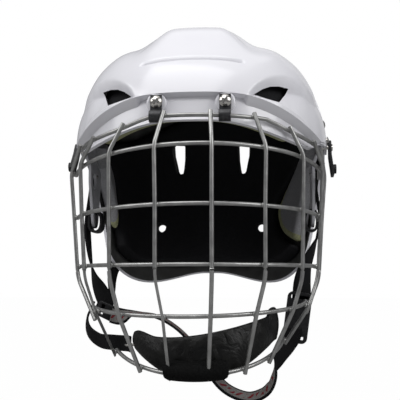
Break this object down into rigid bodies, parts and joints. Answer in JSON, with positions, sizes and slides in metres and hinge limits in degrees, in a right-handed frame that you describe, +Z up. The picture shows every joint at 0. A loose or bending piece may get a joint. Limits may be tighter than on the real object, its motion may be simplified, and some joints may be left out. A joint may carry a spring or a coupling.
{
  "type": "hockey helmet with cage",
  "caption": "Two piece hockey helmet shell with foam liner, ear guards, a flip up wire face cage on two clips, a chin cup and webbing harness",
  "frame": {"origin": "on the helmet's middle plane, inside the head space, under the middle of the shell's dome and level with the cage's fourth cross wire", "axes": "+X to the viewer's right when the cage faces the viewer, +Y toward the back of the head, +Z up"},
  "size_m": [0.24, 0.2887, 0.3266],
  "materials": {
    "shell_white": "glossy moulded shell",
    "foam_black": "closed cell foam",
    "pad_grey": "grey foam with a pale green edge",
    "cage_steel": "satin plated wire",
    "clip_dark": "dark coated sheet steel",
    "screw_chrome": "plated",
    "guard_white": "white moulded sheet",
    "webbing_black": "woven webbing",
    "tab_rubber": "moulded rubber",
    "buckle_plastic": "moulded",
    "cup_black": "covered moulded cup"
  },
  "bodies": {
    "helmet": {"front_shell": "shell_white", "forehead_pad": "foam_black", "crown_pad": "foam_black", "clip_screws": "screw_chrome", "clip_nuts": "screw_chrome", "cage_clip_left": "clip_dark", "cage_clip_right": "clip_dark", "ear_guard_left": "guard_white", "ear_guard_right": "guard_white", "ear_guard_screws": "screw_chrome", "size_screws": "screw_chrome", "size_nuts": "screw_chrome", "side_tab_rivets": "screw_chrome", "ear_strap_left": "webbing_black", "ear_strap_right": "webbing_black", "strap_rivets": "screw_chrome", "guard_loop_left": "webbing_black", "guard_loop_right": "webbing_black", "strap_joiner_left": "buckle_plastic", "strap_buckle_right": "buckle_plastic", "chin_strap": "webbing_black"},
    "rear": {"rear_shell": "shell_white", "rear_crown_pad": "foam_black", "occipital_pad": "foam_black", "temple_pad_left": "pad_grey", "temple_pad_right": "pad_grey", "nape_strap_left": "webbing_black", "nape_strap_right": "webbing_black", "nape_rivets": "screw_chrome"},
    "cage": {"cage_wire_1": "cage_steel", "cage_wire_2": "cage_steel", "cage_wire_3": "cage_steel", "cage_wire_4": "cage_steel", "cage_wire_5": "cage_steel", "cage_wire_6": "cage_steel", "cage_bar_center": "cage_steel", "cage_bar_left_1": "cage_steel", "cage_bar_left_2": "cage_steel", "cage_bar_left_3": "cage_steel", "cage_bar_left_4": "cage_steel", "cage_bar_right_1": "cage_steel", "cage_bar_right_2": "cage_steel", "cage_bar_right_3": "cage_steel", "cage_bar_right_4": "cage_steel", "chin_cup": "cup_black", "cup_wrap": "cup_black", "cup_strap_left": "webbing_black"},
    "left_tab": {"side_tab_left": "tab_rubber"},
    "right_tab": {"side_tab_right": "tab_rubber"},
    "ring": {"cup_ring": "screw_chrome"}
  },
  "joints": [
    {"name": "size_slide", "type": "slide", "parent": "helmet", "child": "rear", "axis": [0, 1, 0], "range_m": [0, 0.012]},
    {"name": "cage_flip", "type": "hinge", "parent": "helmet", "child": "cage", "pos_m": [0, -0.13678, 0.113], "axis": [-1, 0, 0], "range_deg": [0, 90]},
    {"name": "left_tab_swing", "type": "hinge", "parent": "helmet", "child": "left_tab", "pos_m": [-0.115, -0.022, 0.107], "axis": [1, 0, 0], "range_deg": [-25, 60]},
    {"name": "right_tab_swing", "type": "hinge", "parent": "helmet", "child": "right_tab", "pos_m": [0.115, -0.022, 0.107], "axis": [1, 0, 0], "range_deg": [-45, 60]},
    {"name": "ring_turn", "type": "hinge", "parent": "cage", "child": "ring", "pos_m": [-0.052, -0.08584, -0.0635], "axis": [0, 0, 1], "continuous": true}
  ]
}
